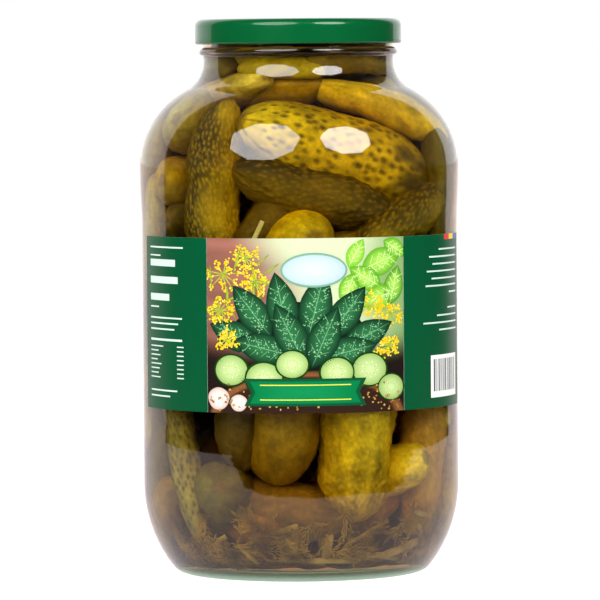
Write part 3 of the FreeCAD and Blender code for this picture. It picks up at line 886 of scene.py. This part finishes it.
class Print:
    """Collects the label's printed shapes, each a little above the one before."""

    def __init__(self):
        self.vertices, self.faces, self.inks = [], [], []
        self.count = 0

    def lay(self, points, faces, inks, layer):
        """Adds one shape, given flat, on the label's curve."""
        placed = on_label(points, PAPER + LAYER_STEP * layer)
        self.vertices.append(placed)
        self.faces += [tuple(i + self.count for i in face) for face in faces]
        self.inks.append(np.asarray(inks, float))
        self.count += len(placed)

    def panel(self, left, bottom, right, top, ink, layer):
        """A rectangle. ink is a hex colour, or a function of its points that gives their colours."""
        columns = max(1, math.ceil((right - left) / PANEL_CELL))
        rows = max(1, math.ceil((top - bottom) / PANEL_CELL)) if callable(ink) else 1
        x, y = np.meshgrid(np.linspace(left, right, columns + 1), np.linspace(bottom, top, rows + 1))
        points = np.stack([x.ravel(), y.ravel()], 1)
        faces = []
        for i in range(rows):
            for j in range(columns):
                a = i * (columns + 1) + j
                faces.append((a, a + 1, a + columns + 2, a + columns + 1))
        inks = ink(points) if callable(ink) else np.tile(linear(ink)[:3], (len(points), 1))
        self.lay(points, faces, inks, layer)

    def blob(self, outline, edge, middle, layer):
        """A closed shape shaded from its middle to its edge."""
        outline = np.asarray(finer([tuple(point) for point in outline], BLOB_CELL))
        centre = outline.mean(0)
        rings = max(1, math.ceil(np.abs(outline - centre).max() / BLOB_CELL))
        points, inks, faces = [centre], [linear(middle)[:3]], []
        count = len(outline)
        edge_ink, middle_ink = np.array(linear(edge)[:3]), np.array(linear(middle)[:3])
        for ring in range(1, rings + 1):
            f = ring / rings
            points += list(centre + (outline - centre) * f)
            inks += [middle_ink + (edge_ink - middle_ink) * f ** 1.6] * count
        for j in range(count):
            k = (j + 1) % count
            faces.append((0, 1 + j, 1 + k))
            for ring in range(rings - 1):
                a, b = 1 + ring * count, 1 + (ring + 1) * count
                faces.append((a + j, b + j, b + k, a + k))
        self.lay(points, faces, inks, layer)


def turned_shape(points, angle, centre):
    """Points turned by degrees about the origin, then moved."""
    a = math.radians(angle)
    turn = np.array([[math.cos(a), math.sin(a)], [-math.sin(a), math.cos(a)]])
    return np.asarray(points) @ turn + np.asarray(centre)


def oval(centre, width, height, count=28, wobble=0.0, seed=0):
    """An ellipse whose outline may wobble."""
    a = np.linspace(0, 2 * math.pi, count, endpoint=False)
    reach = 1 + wobble * np.sin(3 * a + seed) + wobble * 0.6 * np.sin(5 * a + 2 * seed)
    return np.stack([np.cos(a) * width / 2 * reach, np.sin(a) * height / 2 * reach], 1) + np.asarray(centre)


def leaf(centre, length, width, angle):
    """A pointed leaf, broader near its foot."""
    t = np.linspace(0, 1, 10)
    side = np.sin(math.pi * t) ** 0.8 * width / 2 * (1.15 - 0.4 * t)
    upper = np.stack([(t - 0.5) * length, side], 1)
    lower = np.stack([(t[1:-1] - 0.5) * length, -side[1:-1]], 1)[::-1]
    return turned_shape(np.vstack([upper, lower])[::-1], angle, centre)


def dots(ink, random, place, count, size, edge, middles, layer):
    """Small round marks; place() gives the middle of each."""
    for _ in range(count):
        ink.blob(oval(place(), size * random.uniform(0.7, 1.2), size * random.uniform(0.7, 1.1), count=7),
                 edge, random.choice(middles), layer + random.uniform(0, 0.3))


def umbel(ink, random, centre, size, layer):
    """A flower head of dill: rays from one point, each with a knot of yellow florets."""
    for index in range(13):
        a = 2 * math.pi * index / 13 + random.uniform(-0.2, 0.2)
        reach = size * random.uniform(0.45, 1.0)
        tip = (centre[0] + reach * math.cos(a), centre[1] + 0.8 * reach * math.sin(a))
        middle = ((centre[0] + tip[0]) / 2, (centre[1] + tip[1]) / 2)
        ink.blob(leaf(middle, reach, 0.6, math.degrees(math.atan2(tip[1] - centre[1], tip[0] - centre[0]))),
                 "#8fa02a", "#b4c03c", layer)
        dots(ink, random, lambda: (tip[0] + random.normal(0, 1.0), tip[1] + random.normal(0, 0.9)),
             9, 1.25, "#c9a80c", ["#f4e02c", "#fff27a", "#e6c818"], layer + 0.3)


def veined_leaf(ink, random, centre, length, width, angle, edge, middle, vein, layer):
    """A broad leaf with a midrib, side veins and light flecks."""
    ink.blob(leaf(centre, length, width, angle), edge, middle, layer)
    a = math.radians(angle)
    along, across = np.array([math.cos(a), math.sin(a)]), np.array([-math.sin(a), math.cos(a)])
    ink.blob(leaf(centre, length * 0.94, 0.55, angle), vein, vein, layer + 0.1)
    for step in (-0.28, -0.12, 0.04, 0.2):
        for side in (-1, 1):
            middle_point = np.array(centre) + along * length * (step + 0.06) + across * side * width * 0.17
            ink.blob(leaf(middle_point, width * 0.42, 0.35, angle + side * 52), vein, vein, layer + 0.1)

    def place():
        return (np.array(centre) + along * length * random.uniform(-0.34, 0.3)
                + across * width * random.uniform(-0.26, 0.26))

    flecks = int(length * width / 7)
    dots(ink, random, place, flecks, 0.7, vein, ["#b9dcae", "#7fb588"], layer + 0.2)


def kitchen_backdrop(points):
    """Pinkish boards on the left, pale garden light in the middle and right, dark wood below."""
    x = (points[:, 0] - PICTURE_LEFT) / (PICTURE_RIGHT - PICTURE_LEFT)
    y = points[:, 1] / LABEL_HEIGHT
    pink, pale, leafy, dark = [np.array(linear(c)[:3]) for c in ("#8c5a4c", "#c3cda6", "#5f8f3a", "#1c1310")]
    boards = 1 + 0.16 * np.sin(34 * y + 0.8 * np.sin(5 * x)) + 0.08 * np.sin(71 * y + 2)
    colour = blend(pink * boards[:, None], pale, ease(0.16, 0.5, x + 0.1 * np.sin(7 * y)))
    colour = blend(colour, leafy, 0.75 * ease(0.62, 0.95, x + 0.06 * np.sin(11 * y)))
    colour = blend(colour, pale, np.exp(-((x - 0.62) ** 2 / 0.012 + (y - 0.93) ** 2 / 0.02)))
    colour = blend(dark, colour, ease(0.3, 0.52, y + 0.03 * np.sin(9 * x)))
    board = np.hypot((points[:, 0] - 4) / 51, (points[:, 1] + 3) / 23)
    rim, wood = np.array(linear("#7d4f2a")[:3]), np.array(linear("#2e1c15")[:3])
    colour = blend(colour, rim, 1 - ease(0.98, 1.02, board))
    return blend(colour, wood, 1 - ease(0.88, 0.93, board))


def still_life(ink):
    """A plain kitchen scene: broad leaves, flower heads, cucumber slices and small onions on a board."""
    random = np.random.default_rng(11)
    ink.panel(PICTURE_LEFT, 0, PICTURE_RIGHT, LABEL_HEIGHT, kitchen_backdrop, 1)
    for cx, cy, length, angle in ((42, 74, 24, 20), (33, 66, 20, 150), (49, 62, 20, 75), (40, 56, 22, 200),
                                  (28, 78, 16, 60), (50, 80, 16, 330), (24, 60, 18, 250)):
        green = random.choice(["#4f9a1c", "#3b8420", "#6cb02a"])
        veined_leaf(ink, random, (cx, cy), length, length * 0.6, angle, green, "#9fd04e", "#c8ea8c", 3)
    for cx, cy, size in ((-39, 68, 10), (-27, 76, 7), (-22, 64, 7), (35, 52, 8), (47, 48, 8)):
        umbel(ink, random, (cx, cy), size, 4)
    for index in range(20):
        centre = (random.uniform(-46, -14), random.uniform(36, 76))
        ink.blob(leaf(centre, random.uniform(9, 15), random.uniform(0.8, 1.6), random.uniform(0, 360)),
                 "#5f7f1e", "#9fb23c", 5)
    fan = ((-33, 38, 30, 158), (-24, 50, 32, 128), (-9, 53, 33, 102), (8, 53, 34, 76), (23, 49, 32, 52),
           (34, 38, 30, 24), (-19, 32, 31, 166), (24, 30, 31, 12), (-5, 39, 33, 116), (12, 37, 33, 66))
    for index, (cx, cy, length, angle) in enumerate(fan):
        veined_leaf(ink, random, (cx, cy), length, length * 0.5, angle, "#0c2a1a", "#2a6a3e", "#5c9a68",
                    5.5 + 0.5 * index)
    ink.blob(oval((-1, 38), 62, 34, wobble=0.06, count=60), "#0c1a12", "#0a2016", 5.3)
    for cx, cy, size in ((-41, 50, 9), (-37, 36, 6), (46, 32, 7)):
        umbel(ink, random, (cx, cy), size, 10.6)
    slices = [(-35, 21, 19), (-18, 17, 20), (35, 21, 20), (47, 12, 16), (-4, 24, 17), (18, 20, 18)]
    for index, (cx, cy, size) in enumerate(slices):
        layer = 11 + 0.8 * index
        peel = oval((cx, cy), size, size * 0.86, wobble=0.012, seed=index, count=36)
        ink.blob(peel, "#12350f", "#1f5220", layer)
        ink.blob(oval((cx, cy), size * 0.9, size * 0.77, count=36), "#86a858", "#bfd494", layer + 0.2)
        for k in range(9):
            a = 2 * math.pi * k / 9 + index
            ink.blob(leaf((cx + size * 0.21 * math.cos(a), cy + size * 0.18 * math.sin(a)), size * 0.17,
                          size * 0.07, math.degrees(a)), "#94b258", "#d6e0a8", layer + 0.4)
    for cx, cy, size in ((-42, 7, 12), (-31, 5, 9)):
        ink.blob(oval((cx, cy), size, size * 0.92, wobble=0.02, count=30), "#c4a89c", "#f2ebe2", 16)
        for bend in (-0.3, 0.0, 0.3):
            stripe = leaf((cx + bend * size * 0.6, cy), size * 0.84, 0.4, 90 + 26 * bend)
            ink.blob(stripe, "#cdb5a8", "#cdb5a8", 16.2)
    dots(ink, random, lambda: (random.uniform(-47, 54), random.uniform(1, 10) + 6 * random.uniform() ** 3),
         110, 1.3, "#6b4720", ["#d9a83a", "#b07c34", "#e0c070"], 16.5)
    ink.blob(oval((7, 70), 33, 17, count=44), "#6d9c84", "#7fae96", 17)
    ink.blob(oval((7, 70), 31, 15, count=44), "#a9bec4", "#c4d4d8", 17.3)
    banner = [(-28, 3.5), (33, 3.5), (29.5, 10.25), (33, 17), (-28, 17), (-24.5, 10.25)]
    inner = [(-25, 4.8), (30, 4.8), (27.3, 10.25), (30, 15.7), (-25, 15.7), (-22.3, 10.25)]
    ink.blob(banner, "#0a4a2a", "#0f5a34", 17.6)
    ink.blob(inner, "#00703c", "#0c8048", 17.9)
    for height in (6.4, 13.6):
        ink.panel(-20, height, 25, height + 0.5, "#d8d24a", 18.4)


def plain_rules(ink):
    """Bars and stripes of uneven length on the side panels, where small print would be."""
    left, right = -95, ACROSS_RIGHT - 5
    rules = [(80, 0.8, 31), (76, 0.7, 12), (71, 3.4, 25), (62.5, 3.4, 27), (54, 3.4, 20), (50.5, 0.7, 10),
             (45, 0.8, 30), (42.2, 0.8, 27), (39.4, 0.8, 24), (34, 1.1, 30)]
    table = [31 - 2.2 * row for row in range(8)]
    rules += [(height, 0.6, length) for height, length in zip(table, (14, 9, 11, 8, 12, 10, 9, 11))]
    rules += [(9, 0.8, 26), (6.2, 0.8, 20)]
    for height, thick, length in rules:
        ink.panel(left, height, left + length, height + thick, RULE_INK, 20)
    for height in table:
        ink.panel(left + 26, height, left + 31, height + 0.6, RULE_INK, 20)
    for row, length in enumerate((24, 33, 30, 35, 31, 36, 12, 14, 26, 38, 24)):
        height = 78 - row * 3.6 - (4 if row > 6 else 0)
        ink.panel(right - length, height, right, height + 0.8, RULE_INK, 20)


def bar_box(ink):
    """A white box with upright bars of uneven width."""
    random = np.random.default_rng(3)
    ink.panel(ACROSS_RIGHT - 37, 5, ACROSS_RIGHT - 6, 26, "#f2f2ee", 20)
    place = ACROSS_RIGHT - 34.5
    while place < ACROSS_RIGHT - 9:
        width = random.choice([0.5, 0.8, 1.1])
        ink.panel(place, 8, place + width, 24, "#1c1c1c", 21)
        place += width + random.choice([0.6, 0.9, 1.3])


def label_print(material):
    """Green side panels with plain rules, and the picture in the middle."""
    ink = Print()
    still_life(ink)
    for low, high in ((ACROSS_LEFT, PICTURE_LEFT), (PICTURE_RIGHT, ACROSS_RIGHT)):
        ink.panel(low, 0, high, LABEL_HEIGHT, LABEL_GREEN, 19)
    plain_rules(ink)
    bar_box(ink)
    for index, colour in enumerate(("#d8362c", "#f0c820", "#2c66b8")):
        start = ACROSS_RIGHT - 23 + index * 6.4
        ink.panel(start, LABEL_HEIGHT - 2.6, start + 6.4, LABEL_HEIGHT, colour, 20)
    piece = mesh_object("label_print", np.vstack(ink.vertices), ink.faces, material)
    colour_attribute(piece, "ink", np.vstack(ink.inks))
    return piece


def label_sheet(material):
    """The paper itself, a thin curved sheet with its edges."""
    columns = 160
    across = np.linspace(ACROSS_LEFT, ACROSS_RIGHT, columns + 1)
    rows = []
    for lift, up in ((0.0, 0.0), (PAPER, 0.0), (PAPER, LABEL_HEIGHT), (0.0, LABEL_HEIGHT)):
        rows.append(on_label(np.stack([across, np.full(columns + 1, up)], 1), lift))
    size = columns + 1
    faces = []
    for row in range(4):
        a, b = row * size, (row + 1) % 4 * size
        faces += [(a + j, a + j + 1, b + j + 1, b + j) for j in range(columns)]
    faces.append((0, size, 2 * size, 3 * size))
    faces.append((3 * size + columns, 2 * size + columns, size + columns, columns))
    piece = mesh_object("label_sheet", np.vstack(rows), faces, material, smooth=False)
    colour_attribute(piece, "ink", np.tile(linear("#e9e6da")[:3], (4 * size, 1)))
    return piece


# ---------------------------------------------------------------- stage, lamps and camera
BEHIND = (-0.1736, 1.0, 0.0)         # towards the studio's white wall


def studio_world():
    """White behind the jar, dark in front of it, and a plain soft light on matt surfaces."""
    world = bpy.data.worlds.new("studio")
    bpy.context.scene.world = world
    world.use_nodes = True
    tree = world.node_tree
    tree.nodes.clear()
    path = add(tree, "ShaderNodeLightPath")
    place = add(tree, "ShaderNodeTexCoord")
    behind = add(tree, "ShaderNodeVectorMath", {"operation": "DOT_PRODUCT"}, {
        0: place.outputs["Generated"], 1: BEHIND})
    wall = add(tree, "ShaderNodeMapRange", inputs={
        "Value": behind.outputs["Value"], "From Min": 0.55, "From Max": 0.58, "To Min": 0.04, "To Max": 1.45})
    open_view = add(tree, "ShaderNodeMath", {"operation": "MAXIMUM"}, {
        0: path.outputs["Is Camera Ray"], 1: path.outputs["Is Transmission Ray"]})
    soft = add(tree, "ShaderNodeMix", inputs={
        0: path.outputs["Is Glossy Ray"], 2: 0.24, 3: wall.outputs[0]})
    strength = add(tree, "ShaderNodeMix", inputs={0: open_view.outputs[0], 2: soft.outputs[0], 3: 1.0})
    light = add(tree, "ShaderNodeBackground", inputs={
        "Color": (1, 1, 1, 1), "Strength": strength.outputs[0]})
    output = add(tree, "ShaderNodeOutputWorld")
    tree.links.new(light.outputs[0], output.inputs[0])


def white_table():
    """A white table that lights up to the white of the background and keeps a soft shadow.

    Gloss sees a small white table top with a cut right corner, white behind it, and dark studio beyond.
    """
    material, tree, output = new_material("white_table")
    top = add(tree, "ShaderNodeBsdfDiffuse", inputs={"Color": linear("#f4f4f4")})
    glow = add(tree, "ShaderNodeEmission", inputs={"Color": (1, 1, 1, 1), "Strength": 1.65})
    seen = add(tree, "ShaderNodeMixShader", inputs={0: 0.55, 1: top.outputs[0], 2: glow.outputs[0]})
    place = add(tree, "ShaderNodeTexCoord")
    spot = place.outputs["Object"]
    ragged = add(tree, "ShaderNodeTexNoise", inputs={"Vector": spot, "Scale": 14.0})
    direction = add(tree, "ShaderNodeVectorMath", {"operation": "NORMALIZE"}, {0: spot})

    def side(source, across, low, high, unevenness=0.06):
        """1 where the distance along `across` is over `high`, 0 where it is under `low`."""
        reach = add(tree, "ShaderNodeVectorMath", {"operation": "DOT_PRODUCT"}, {0: source, 1: across})
        uneven = add(tree, "ShaderNodeMath", {"operation": "MULTIPLY_ADD"}, {
            0: ragged.outputs[0], 1: unevenness, 2: reach.outputs["Value"]})
        return add(tree, "ShaderNodeMapRange", inputs={
            "Value": uneven.outputs[0], "From Min": low, "From Max": high}).outputs[0]

    def pick(operation, first, second):
        """One sum on two sockets or numbers."""
        return add(tree, "ShaderNodeMath", {"operation": operation}, {0: first, 1: second}).outputs[0]

    front = side(spot, (0.0, 1.0, 0.0), -0.36, -0.33)
    corner = side(spot, (-0.68, 0.73, 0.0), -0.47, -0.45)
    left = side(spot, (-0.307, 0.951, 0.0), -0.29, -0.28, 0.16)
    edge = add(tree, "ShaderNodeVectorMath", {"operation": "LENGTH"}, {0: spot})
    near = pick("LESS_THAN", edge.outputs["Value"], 1.0)
    wall = side(direction.outputs[0], BEHIND, 0.58, 0.61)
    top_shape = pick("MAXIMUM", pick("MINIMUM", front, corner), left)
    white = pick("MAXIMUM", pick("MULTIPLY", near, top_shape), wall)
    mirrored = add(tree, "ShaderNodeEmission", inputs={
        "Color": linear("#fff2f4"), "Strength": pick("MULTIPLY", white, 1.15)})
    path = add(tree, "ShaderNodeLightPath")
    mix = add(tree, "ShaderNodeMixShader", inputs={
        0: path.outputs["Is Glossy Ray"], 1: seen.outputs[0], 2: mirrored.outputs[0]})
    tree.links.new(mix.outputs[0], output.inputs[0])
    half, below = 60000, -0.05
    corners = [(-half, -half, below), (half, -half, below), (half, half, below), (-half, half, below)]
    table = mesh_object("table", corners, [(0, 1, 2, 3)], material, smooth=False)


def aimed(item, place, target):
    """Puts a lamp at a place and points it at a target."""
    item.location = place
    item.rotation_euler = (Vector(target) - Vector(place)).to_track_quat("-Z", "Y").to_euler()


def softbox(name, bearing, elevation, reach, radius, strength, reflection):
    """A round lamp for light, and an eight-sided glowing face that only gloss shows."""
    target = Vector((0, 0, 0.2))
    a, e = math.radians(bearing), math.radians(elevation)
    place = target + reach * Vector((math.sin(a) * math.cos(e), -math.cos(a) * math.cos(e), math.sin(e)))
    lamp = bpy.data.lights.new(name + "_lamp", "AREA")
    lamp.shape = "DISK"
    lamp.size = 2 * radius
    lamp.energy = strength * math.pi ** 2 * radius ** 2
    item = bpy.data.objects.new(name + "_lamp", lamp)
    bpy.context.scene.collection.objects.link(item)
    aimed(item, place, target)
    item.visible_glossy = False
    item.visible_transmission = False
    material, tree, output = new_material(name + "_face")
    glow = add(tree, "ShaderNodeEmission", inputs={"Color": (1, 1, 1, 1), "Strength": reflection})
    tree.links.new(glow.outputs[0], output.inputs[0])
    material.cycles.emission_sampling = "NONE"
    angles = np.radians(np.arange(22.5, 382, 45))
    ring = [(radius / MM * math.cos(b), radius / MM * math.sin(b), 0) for b in angles]
    face = mesh_object(name + "_face", ring, [tuple(range(8))], material, smooth=False)
    face.data.transform(Matrix.Translation(place) @ item.rotation_euler.to_matrix().to_4x4())
    face.visible_camera = False
    face.visible_diffuse = False
    face.visible_transmission = False
    face.visible_shadow = False


def camera():
    """A long lens level with the neck that looks a little down, turned by under half a degree."""
    lens = bpy.data.cameras.new("camera")
    lens.lens = 303.0
    lens.sensor_width = 36.0
    lens.clip_end = 200.0
    item = bpy.data.objects.new("camera", lens)
    bpy.context.scene.collection.objects.link(item)
    place, target = Vector((0, -2.54, 0.259)), Vector((0, 0, 0.1364))
    look = (target - place).to_track_quat("-Z", "Y").to_matrix()
    roll = Euler((0, 0, math.radians(-0.43))).to_matrix()
    item.location = place
    item.rotation_euler = (look @ roll).to_euler()
    bpy.context.scene.camera = item


# ---------------------------------------------------------------- the jar
def jar_shell():
    """The jar in one closed skin. Its inner face below the brine's level has the wetted glass."""
    glass, wetted = container_glass("soda_lime_container_glass", 1.0), container_glass("wetted_glass", 0.0)
    centre = (NECK - WALL + RIM_ROUND, RIM - RIM_ROUND)
    rim_inside = [(centre[0] - RIM_ROUND * math.cos(a), centre[1] + RIM_ROUND * math.sin(a))
                  for a in np.radians((90, 60, 30, 0))]
    outside = outer_outline() + rim_inside
    inside = cavity_outline(0.0, RIM - RIM_ROUND)[::-1][1:]
    shell = lathe("glass_shell", outside + inside, glass, relief=thread_relief)
    shell.data.materials.append(wetted)
    dry_rings = len(outside) - 1 + sum(1 for point in inside if point[1] > LEVEL)
    for index in range(dry_rings * SEGMENTS, len(shell.data.polygons)):
        shell.data.polygons[index].material_index = 1
    return shell


def build():
    """Makes every piece, rides it on the body and hides the node it stands for."""
    finish_piece(jar_shell(), "clear_glass", "glass_jar")

    # The brine reaches 0.3 mm into the wall, so that no air gap shows.
    filling = cavity_outline(0.3, LEVEL)
    brine = lathe("brine_filling", filling + run(filling[-1], (0, LEVEL), 6), pickling_brine())
    finish_piece(brine, "brine_with_pickles", "brine")

    lid = lathe("lid_shell", lid_outline(), lacquered_tinplate())
    finish_piece(lid, "green_lacquered_steel", "lid")

    paper = coated_label_paper()
    finish_piece(label_sheet(paper), "printed_paper", "label")
    finish_piece(label_print(paper), "printed_paper")

    skin = gherkin_skin()
    above, below = shown_above(), shown_below()
    rest = hidden_fill(above + below)
    finish_piece(gherkin_piece("gherkins_above_label", above, skin), "brine_with_pickles")
    finish_piece(gherkin_piece("gherkins_below_label", below, skin), "brine_with_pickles")
    finish_piece(gherkin_piece("gherkins_behind", rest, skin), "brine_with_pickles")
    finish_piece(dill_fronds(), "brine_with_pickles")
    stem = dill_material("pickled_dill_stem", "#6a5416", "#a8904a")
    finish_piece(stalk_pieces("dill_stalks", SUNK_STALKS, stem), "brine_with_pickles")
    sprout = dill_material("blanched_dill_stem", "#c4b878", "#ece2b4")
    finish_piece(stalk_pieces("pale_stalk", [(-16.5, 172, 66, 16, 2.4, 3)], sprout), "brine_with_pickles")


build()
studio_world()
white_table()
softbox("left_softbox", -28, 34, 1.3, 0.58, 5.4, 8.0)
softbox("right_softbox", 38, 34, 1.3, 0.41, 6.2, 13.0)
camera()
bpy.context.scene.view_settings.view_transform = "Standard"
